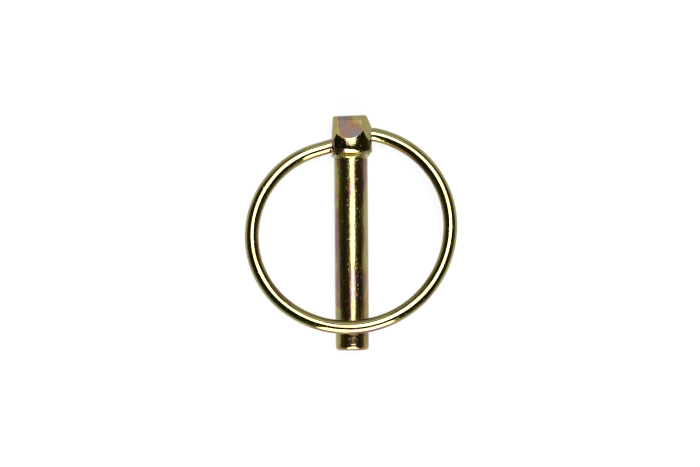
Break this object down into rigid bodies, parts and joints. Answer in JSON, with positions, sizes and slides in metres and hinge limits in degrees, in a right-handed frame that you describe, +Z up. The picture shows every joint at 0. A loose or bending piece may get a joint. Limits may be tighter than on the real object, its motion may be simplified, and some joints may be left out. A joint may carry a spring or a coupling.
{
  "type": "lynch pin",
  "caption": "Lynch pin: a forged round pin with a block head, and a sprung wire ring that swings over the head and shuts across the shank to lock the pin in its hole.",
  "frame": {"origin": "on the shank's axis, at the underside of the head", "axes": "+Y up the pin towards the head, +Z up from the pin's back to the side that the shut ring lies on, +X to the right"},
  "size_m": [0.0377, 0.0418, 0.009],
  "materials": {
    "forged_zinc": "forged steel, zinc plated and yellow passivated, iridescent",
    "wire_zinc": "drawn spring-steel wire, zinc plated and yellow passivated, iridescent"
  },
  "bodies": {
    "pin": {"pin": "forged_zinc"},
    "ring": {"spring_ring": "wire_zinc"}
  },
  "joints": [
    {"name": "ring_swing", "type": "hinge", "parent": "pin", "child": "ring", "pos_m": [0, 0.0031, 0], "axis": [-0.9603, -0.279, 0], "range_deg": [0, 175]}
  ]
}
